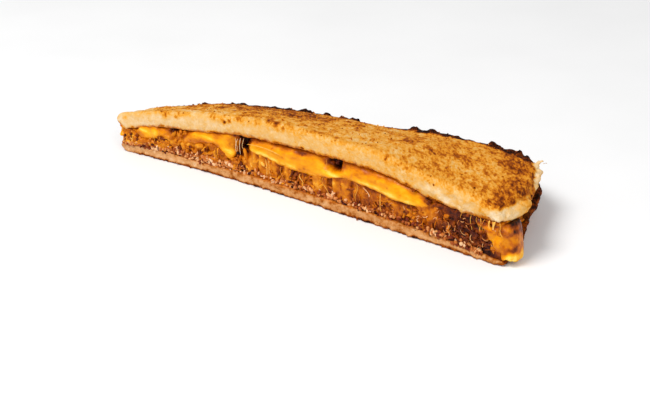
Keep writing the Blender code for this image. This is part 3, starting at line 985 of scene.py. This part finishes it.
def fold_body(places, stands, seed):
    """A rounded fold of cheese that stands out furthest at its lower lip."""
    start, *_, end = (place[0] for place in places)
    along = np.arange(start, end, BODY_STEP)
    low, high = (smoothed(np.interp(along, *np.transpose(places)[[0, k]]), 7) for k in (1, 2))
    low = low + 0.28 * noise(on_line(along), 2.4, seed)
    ends = ramp(along, start - 1, start + 3) * fall(along, end - 4, end + 1)
    out = stands * (1 + 0.3 * noise(on_line(along), 6, seed + 1)) * mix(0.4, 1, ends)
    lip = np.sin(math.pi * np.linspace(0, 1, 14) ** 0.62)
    front = cut_line(along)[:, None] + 0.35 - lip * out[:, None]
    return band_body(along, low, high, front, FOLD_BACK)


def curtain_body():
    """The flat curtain of cheese that hangs down the right end."""
    turn = np.linspace(0, 2 * math.pi, 20, endpoint=False)
    across, over = CURTAIN_THICK * np.cos(turn), np.sin(turn)
    rings = []
    for z, near, far, x in CURTAIN:
        y = (near + far) / 2 + over * (far - near) / 2
        rings.append(np.column_stack((x + across, y, np.full(len(turn), z))))
    return lofted(rings)


def cheese_tone(points):
    """Bright on the folds with painted highlights, browner under the top slice, and darker out of sight
    behind the cut, which is painted shade between the slices.
    """
    x, y, z = points.T
    behind = y - cut_line(x)
    places, *edges = np.vstack(FOLDS).T
    low, high = (np.interp(x, places, edge) for edge in edges)
    tone = 0.34 + 0.09 * fractal(points, (5, 4, 1.6), 93)
    tone += 0.3 * ramp(z + 0.5 * noise(points, 2, 95), high - 1.2, high + 0.5)
    tone += 0.1 * bell(x, 74, 2.2) + 0.1 * bell(z, low, 0.6)
    # painted highlights: paler lines along the folds where light lies
    for middle, height, reach in SHEENS:
        line = height + SHEEN_SLOPE * (x - middle)
        tone -= 0.38 * bell(x, middle, reach) * bell(z, line, SHEEN_HALF_WIDTH)
    tone += (0.03 + 0.2 * noise(points, 1.6, 96)) * fall(x, 11, 22)
    tone += (0.08 + 0.16 * noise(points, 2.2, 97)) * bell(x, 36, 9)
    tone += 0.14 * bell(z, low + 0.5, 1.6) * bell(x, 33, 10)
    # painted shade: browner further behind the cut, between the slices, but not at the open right end
    tone += 0.3 * ramp(behind, 1.2, 3) * fall(x, 142, 144)
    # painted shade: the cheese is darker inside the hollows
    tone += (0.85 - 0.25 * bell(x, 85, 8)) * hollow_share(x, z) * ramp(behind, -0.6, 0.8)
    tone += 0.18 * ramp(x, 119, 124) + ramp(x, 134, 138) * (0.04 + 0.18 * noise(points, 1.1, 99))
    foot = ramp(x, 144.5, 145.8) * fall(z, 2.6, 4.4)
    end = ramp(x, 143.5, 145.2)
    tone += 0.13 * end * ramp(z, 4, 9) - 0.42 * foot
    return tone + 0.12 * (1 - foot) * end * noise(points, 2.2, 98)


def sculpt_cheese():
    rng = np.random.default_rng(7)
    bodies = [pushed_back("cheese", 0.8), curtain_body()]
    for k, (places, stands) in enumerate(zip(FOLDS, FOLD_STANDS)):
        bodies.append(fold_body(places, stands, 80 + 3 * k))
    for *place, radius in CHEESE_LUMPS:
        bodies.append(lump(rng, on_cut(*place), LUMP_SHAPE * radius, 0.4, FINE_BALL))
    skin = Skin(bodies, CHEESE_VOXEL)
    skin.smooth(6)
    points = skin.points.copy()
    x, y, z = points.T
    skin.points[:, 1] += HOLLOW_DEEP * hollow_share(x, z) * fall(y - cut_line(x), 0, 8)
    skin.push(0.12 * noise(points, (1.2, 1.2, 5), 91) + 0.18 * noise(points, 3, 92))
    skin.smooth(1, 0.4)
    return add_piece("melted_cheese_folds", "cheese", cheese_look(), skin.body(), tone=cheese_tone(points))


# ---- filling

# How dark the filling is along the cut: (place along it, tone).
FILL_TONES = (
    (0, 0.54), (20, 0.54), (45, 0.52), (60, 0.53), (90, 0.57), (105, 0.66), (118, 0.6), (128, 0.82),
    (140, 0.8), (145, 0.62),
)
CUT_SHREDS, CRUST_SHREDS = 300, 260
# Dark glazed lumps at the cut: (x, behind the cut, z, radius, tone), and how many bits each has.
DARK_LUMPS = (
    (131, 0.2, 8.8, 1.5, 0.84), (129.6, 0.4, 10.2, 1.1, 0.8), (136, 0.2, 6.9, 1.5, 0.86),
    (141, 0.3, 5.6, 1.7, 0.82), (138.6, 0.5, 8, 1.1, 0.74), (133.8, 0.4, 4.8, 1.1, 0.78),
    (21.8, 0.5, 10.2, 1.1, 0.84), (24.6, 0.2, 10, 1.1, 0.5), (26.6, 0.3, 10.9, 0.8, 0.56),
    (20.2, 0.3, 6.4, 1, 0.84), (18.2, 0.4, 5.2, 0.9, 0.72), (2.6, 0.1, 5.4, 1.2, 0.84),
    (4.6, 0.3, 6.4, 0.9, 0.78), (48.6, 0.2, 5, 1.1, 0.84), (51, 0.2, 4.4, 1, 0.88), (29, 0.3, 6.6, 1, 0.8),
    (35.5, 0.3, 7.6, 1, 0.78), (11, 0.3, 4.6, 0.9, 0.78), (7, 0.2, 5, 0.9, 0.78),
    (14.6, 0.2, 5.4, 0.9, 0.76), (25, 0.2, 5.8, 0.9, 0.78), (33, 0.2, 5.6, 0.9, 0.76),
    (39, 0.2, 6.4, 1, 0.76), (43.6, 0.2, 5, 0.9, 0.78), (119.5, 0.7, 12.2, 1, 0.78), (115, 0.7, 14, 1, 0.8),
    (86, 0.9, 14.6, 1, 0.9), (53, 0.5, 3.6, 0.9, 0.8), (106, 0.3, 7.6, 1.1, 0.74),
    (112.5, 0.3, 6.8, 1.1, 0.72), (124, 0.5, 7.2, 1.1, 0.66),
)
LUMP_BITS = 5
CRUMBLY_BITS = 640
# Strings of cheese drawn down the cut: (place along it, top, foot, radius, tone).
STRINGS = (
    (47.8, 13.8, 9.4, 0.06, 0.1), (48.7, 13.8, 8.6, 0.07, 0), (49.9, 14.2, 8.8, 0.09, 0),
    (51.2, 14.4, 10.2, 0.07, 0.2), (83.4, 15.4, 11.4, 0.07, 0.6), (60.2, 10, 4.2, 0.11, 0.35),
    (61.1, 10, 4.6, 0.08, 0.35), (66, 9, 4.8, 0.09, 0.6), (73.8, 8.6, 5, 0.12, 0.35),
    (82.6, 9.8, 4.6, 0.1, 0.5), (95.2, 11, 5.2, 0.1, 0.5), (103.8, 10.2, 4.4, 0.16, 0.5),
    (40, 9.2, 5.2, 0.09, 0.6), (14, 10.6, 5.6, 0.09, 0.5), (17, 10.4, 6.4, 0.09, 0.6),
    (131.8, 12.2, 8.4, 0.07, 0.6), (134.6, 12.2, 7, 0.09, 0.5), (136.4, 12.2, 9, 0.07, 0.6),
    (137.6, 12.2, 7.4, 0.16, 0.55), (139, 12.2, 8.6, 0.1, 0.5), (140.6, 12.4, 8.2, 0.26, 0.45),
    (141.6, 12.4, 9.2, 0.2, 0.35), (142.4, 12.6, 7.6, 0.32, 0.35), (143.8, 12.6, 8.4, 0.16, 0.5),
)
STRINGS_OUT = -0.6  # the furthest that anything thin hangs in front of the cut's two ends
CURLY_FIBRES = 42


def streaky(x):
    """Where the filling hangs in upright streaks rather than lying in lumps."""
    return ramp(x, 44, 52) * fall(x, 94, 104)


def fill_relief(points):
    """Upright ridges in the middle and lumps elsewhere, about -1 to 1."""
    ridges = 0.6 * noise(points, (1.1, 3, 9), 111) + 0.7 * noise(points, (2.7, 4, 8), 112)
    ridges += 0.25 * noise(points, (0.9, 0.9, 1.6), 113)
    lumps = 0.8 * fractal(points, (2.4, 2.2, 1.5), 114) + 0.3 * noise(points, 0.9, 115)
    return mix(lumps, ridges, streaky(points[:, 0]))


def fill_tone(points):
    """Amber on what stands out and dark between, which is painted light and shade on the relief, and redder
    towards the right.
    """
    x, _, z = points.T
    # painted highlight on the ridges and painted shade in the valleys between them
    tone = height_at(FILL_TONES, x) - 0.25 * fill_relief(points)
    tone += 0.1 * fractal(points, (3.2, 3, 2.2), 116)
    tone -= 0.12 * bell(x, 121, 4) * ramp(z, 7, 9)
    below = cheese_low_at(x) - z
    # painted shadow: a darker band just under the cheese's lower lip
    tone += 0.12 * bell(below, 0.3, 0.7) * ramp(x, 48, 54)
    tone -= 0.1 * bell(below, 1.6, 2) * fall(x, 118, 124)
    tone -= 0.16 * ramp(x, 136, 142) * ramp(z, 2.5, 5)
    # painted shade: the filling is darker inside the hollows
    return tone + 0.7 * hollow_share(x, z)


def sculpt_fill_face():
    """The mass of filling that shows at the cut, up to the cheese."""
    along = np.arange(0.6, CUT_LENGTH - 0.8, BODY_STEP)
    high = smoothed(cheese_low_at(along), 5) + 0.9
    front = np.repeat((cut_line(along) + 0.35)[:, None], 10, axis=1)
    skin = Skin([band_body(along, floor_at(along) - 0.5, high, front, 6)], FACE_VOXEL)
    skin.smooth(3)
    points = skin.points.copy()
    x, y, z = points.T
    facing = fall(y - cut_line(x), 2, 4)
    skin.points[:, 1] -= facing * (0.75 * fill_relief(points) + 0.1 - HOLLOW_DEEP * hollow_share(x, z))
    skin.push(0.1 * fractal(points, 0.9, 117))
    look = shred_look("browned_filling", BROWNED, 0.44, 0.05)
    return add_piece("filling_at_cut", "filling", look, skin.body(), tone=fill_tone(points))


def sculpt_core():
    """The rest of the filling, behind what shows at the cut."""
    skin = Skin([pushed_back("filling", 3)], CORE_VOXEL)
    skin.smooth(1)
    points = skin.points.copy()
    skin.push(0.38 * fractal(points, 2.2, 101) - 0.2)
    tone = 0.66 + 0.16 * fractal(points, 2.6, 102)
    look = shred_look("browned_core", BROWNED, 0.48, 0.03)
    return add_piece("filling_core", "filling", look, skin.body(), tone=tone)


def kept_in(line, radius):
    """A shred's points held between the slices, and not far out of the cut."""
    x = np.clip(line[:, 0], 1, CUT_LENGTH - 1)
    y = np.maximum(line[:, 1], cut_line(x) - 0.35 + radius * 0.5)
    z = np.clip(line[:, 2], floor_at(x) + radius * 0.4, cheese_low_at(x) + radius * 0.4)
    return np.column_stack((x, y, z))


def cut_shreds(rng):
    """Browned shreds half sunk in the filling at the cut."""
    for _ in range(CUT_SHREDS):
        x = rng.uniform(1.5, CUT_LENGTH - 1.5)
        low, high = floor_at(x) + 0.6, cheese_low_at(x)
        if high - low < 1.2:
            continue
        height = mix(low, high, rng.uniform(0.05, 0.95))
        upright = streaky(x)
        if upright > 0.5 and rng.uniform() < 0.3:
            continue
        heading = rng.normal(0, (mix(1, 0.25, upright), 0.25, mix(0.6, 1, upright)))
        heading /= np.linalg.norm(heading)
        radius = (rng.uniform(0.28, 0.62) + 0.25 * (x < 48)) * (1 - 0.35 * ramp(x, 92, 98))
        middle = on_cut(x, rng.uniform(-0.1, 0.55), height)
        line = kept_in(strand(rng, middle, heading, rng.uniform(2.2, 6), 0.2), radius)
        body = tube(line, radius, 7, rng.uniform(0.5, 0.9), rng.normal(size=3))
        tone = fill_tone(middle[None])[0] + rng.normal(-0.05, 0.1)
        yield body, max(tone, 0.42 * ramp(x, 92, 98))


def crust_shreds(rng):
    """Shreds that show between the slices round the crust."""
    bottom, top = node_body("bread_bottom")[0], node_body("bread_top")[0]
    for _ in range(CRUST_SHREDS):
        k = rng.integers(10, len(CRUST) - 10)
        spot, ahead = inside_crust(k, 3, rng.uniform(1.8, 4))
        low, high = nearest_height(bottom, spot, max), nearest_height(top, spot, min)
        if high - low < 0.8:
            continue
        radius = min(rng.uniform(0.35, 0.8), (high - low) * 0.4)
        height = mix(low + radius, high - radius, rng.uniform(0, 1))
        heading = np.array((*ahead, rng.normal(0, 0.2)))
        path = strand(rng, np.array((*spot, height)), heading, rng.uniform(3, 7), 0.1)
        path[:, 2] = np.clip(path[:, 2], height - 0.5, height + 0.5)
        yield tube(path, radius, 6, 0.8, rng.normal(size=3)), rng.normal(0.52, 0.16)


def dark_lumps(rng):
    """Lumps of glazed meat, each of a few bits."""
    for *place, radius, tone in DARK_LUMPS:
        for _ in range(LUMP_BITS):
            middle = on_cut(*place) + rng.normal(0, radius * 0.42, 3)
            size = radius * rng.uniform((0.45, 0.35, 0.3), (0.85, 0.6, 0.55))
            points, faces = lump(rng, middle, size, 0.55, FINE_BALL)
            points[:, 1] += max(0, cut_line(middle[0]) - 0.7 - points[:, 1].min())
            yield (points, faces), tone + rng.uniform(-0.16, 0.05)


def add_shreds():
    rng = np.random.default_rng(11)
    bits = [*cut_shreds(rng), *crust_shreds(rng), *dark_lumps(rng)]
    return add_many("filling_shreds", "filling", bits, shred_look("browned_shreds", BROWNED, 0.4, 0.07))


def add_crumbly_layer():
    """The pinkish layer in clusters on the bottom slice at the cut."""
    rng = np.random.default_rng(13)
    bits = []
    for _ in range(CRUMBLY_BITS):
        x = rng.uniform(1, 138) if rng.uniform() < 0.75 else rng.uniform(3, 48)
        low = floor_at(x) - 0.3
        height = mix(low, height_at(CRUMBLY_TOP, x), rng.beta(1.3, 1.5))
        size = rng.uniform((0.3, 0.25, 0.22), (0.9, 0.6, 0.6))
        body = lump(rng, on_cut(x, rng.uniform(-0.35, 0.5), height), size, 0.55)
        cluster = noise(np.array(((x, 0, 0),)), 3.4, 131)[0]
        pale = 0.44 - 0.26 * cluster + 0.25 * (height < low + 0.5) + 0.04 * (x > 100)
        bits.append((body, max(0.14, rng.normal(pale, 0.21))))
    return add_many("crumbly_bits", "filling", bits, shred_look("crumbly_bits", PINKISH, 0.5, 0.05))


def cheese_string(rng, x, top, foot, radius):
    """A thin string of cheese that sways on its way down."""
    out = 1 if top < 12 else 0.2
    start = on_cut(x, -out * 0.9, top)
    end = np.array((x + rng.normal(0, 0.3 + 4 * radius), cut_line(x) - out * 0.35, foot))
    share = np.linspace(0, 1, 12)[:, None]
    sway = np.array((rng.normal(0, 0.3), -0.15, 0)) * np.sin(math.pi * share)
    wave = np.array((rng.normal(0, 0.2), 0, 0)) * np.sin(2 * math.pi * share)
    line = mix(start, end, share) + sway + wave
    line[:, 1] = np.maximum(line[:, 1], STRINGS_OUT)
    return tube(line, radius)


def add_strings():
    rng = np.random.default_rng(17)
    bits = [(cheese_string(rng, *place), tone) for *place, tone in STRINGS]
    along = np.linspace(53, 66, 20)
    thread = np.column_stack((along, cut_line(along) - 0.9, 13.5 - 0.015 * (along - 58) ** 2))
    bits.append((tube(thread, 0.16), 0.45))
    return add_many("cheese_threads", "cheese", bits, shred_look("cheese_threads", STRINGY, 0.4, 0.05))


def add_curly_fibres():
    """Light curled fibres, most of them at the right end."""
    rng = np.random.default_rng(19)
    bits = []
    for k in range(CURLY_FIBRES):
        x = rng.uniform(122, 145) if k % 3 else rng.uniform(94, 122)
        height = rng.uniform(floor_at(x) + 1.5, min(10.5, cheese_low_at(x) - 0.4))
        middle = on_cut(x, -rng.uniform(0, 0.5), height)
        turn = np.linspace(0, rng.uniform(1.2, 3.6), 12)
        size = rng.uniform(0.7, 1.7)
        coil = np.column_stack((np.cos(turn), np.sin(turn), 0.12 * turn)) * size
        line = middle + (coil - coil.mean(axis=0)) @ any_turn(rng) * (1, 0.4, 1)
        line[:, 1] = np.maximum(line[:, 1], STRINGS_OUT)
        bits.append((tube(line, rng.uniform(0.07, 0.14), 5), rng.uniform(0.2, 0.7)))
    return add_many("curly_fibres", "filling", bits, shred_look("curly_fibres", PINKISH, 0.4, 0.05))


# ---- loose crumbs

CRUMB_TRIES = 3600


def add_loose_crumbs(slice_piece):
    """Toasted crumbs on the top slice, most of them near its crust."""
    rng = np.random.default_rng(23)
    mesh = slice_piece.data
    bits = []
    for index in rng.choice(len(mesh.vertices), CRUMB_TRIES, replace=False):
        vertex = mesh.vertices[int(index)]
        point = (np.array(vertex.co) - ORIGIN) / MM
        if vertex.normal.z < 0.35 or max(flake_share(point[None])[0], roll_share(point[None])[0]) > 0:
            continue
        rim = bell(line_distance(point[:1], point[1:2], CRUST)[0], 0, 2.5)
        if rng.uniform() > 0.14 + 0.4 * rim or point[0] + 0.45 * point[1] < 10:
            continue
        size = rng.uniform((0.14, 0.14, 0.1), (0.34, 0.34, 0.22)) * (1 + 0.4 * rim)
        body = lump(rng, point + np.array(vertex.normal) * 0.05, size, 0.5)
        bits.append((body, rng.uniform(0.42, 0.7) + 0.16 * rim))
    body, baked = together(bits)
    look = bread_look("toasted_crumbs")
    return add_piece("loose_crumbs", "bread_top", look, body, baked=baked, stain=0 * baked)


# ---- the view

LAMP_DISTANCE = 0.9


def point_at(thing, place, target):
    thing.location = place
    thing.rotation_mode = "QUATERNION"
    thing.rotation_quaternion = (Vector(target) - Vector(place)).to_track_quat("-Z", "Y")


def direction(azimuth, elevation):
    """The way from the middle towards a viewer or a lamp at these angles, in degrees."""
    a, e = math.radians(azimuth), math.radians(elevation)
    return Vector((math.sin(a) * math.cos(e), -math.cos(a) * math.cos(e), math.sin(e)))


def add_camera():
    data = bpy.data.cameras.new("camera")
    data.lens, data.sensor_width = LENS, SENSOR
    data.clip_start, data.clip_end = 0.01, 20
    camera = placed("camera", data)
    aim = Vector(ORIGIN + np.array(LOOK_AIM) * MM)
    point_at(camera, aim + direction(LOOK_AZIMUTH, LOOK_ELEVATION) * LOOK_DISTANCE * MM, aim)
    camera.rotation_quaternion @= Quaternion((0, 0, 1), math.radians(LOOK_ROLL))
    bpy.context.scene.camera = camera


def add_lamp(name, azimuth, elevation, size, power):
    data = bpy.data.lights.new(name, "AREA")
    data.shape = "DISK"
    data.size, data.energy = size, power
    point_at(placed(name, data), direction(azimuth, elevation) * LAMP_DISTANCE, (0, 0, 0))


def add_light():
    world = bpy.data.worlds.new("studio")
    world.use_nodes = True
    back = world.node_tree.nodes["Background"]
    back.inputs["Color"].default_value = (1, 1, 1, 1)
    back.inputs["Strength"].default_value = 0.42
    bpy.context.scene.world = world
    add_lamp("key", -30, 62, 0.5, 5.6)
    add_lamp("fill", 55, 30, 0.6, 2.6)


def add_floor():
    half = 3
    data = bpy.data.meshes.new("table_top")
    corners = [(-half, -half, 0), (half, -half, 0), (half, half, 0), (-half, half, 0)]
    data.from_pydata(corners, [], [(0, 1, 2, 3)])
    data.materials.append(floor_look())
    table = placed("table_top", data)
    table.location.z = -0.0001


def main():
    bpy.context.scene.view_settings.view_transform = "Standard"
    add_camera()
    add_light()
    add_floor()
    top = sculpt_top_slice()
    sculpt_bottom_slice()
    sculpt_cheese()
    sculpt_fill_face()
    sculpt_core()
    add_shreds()
    add_crumbly_layer()
    add_strings()
    add_curly_fibres()
    add_loose_crumbs(top)


main()
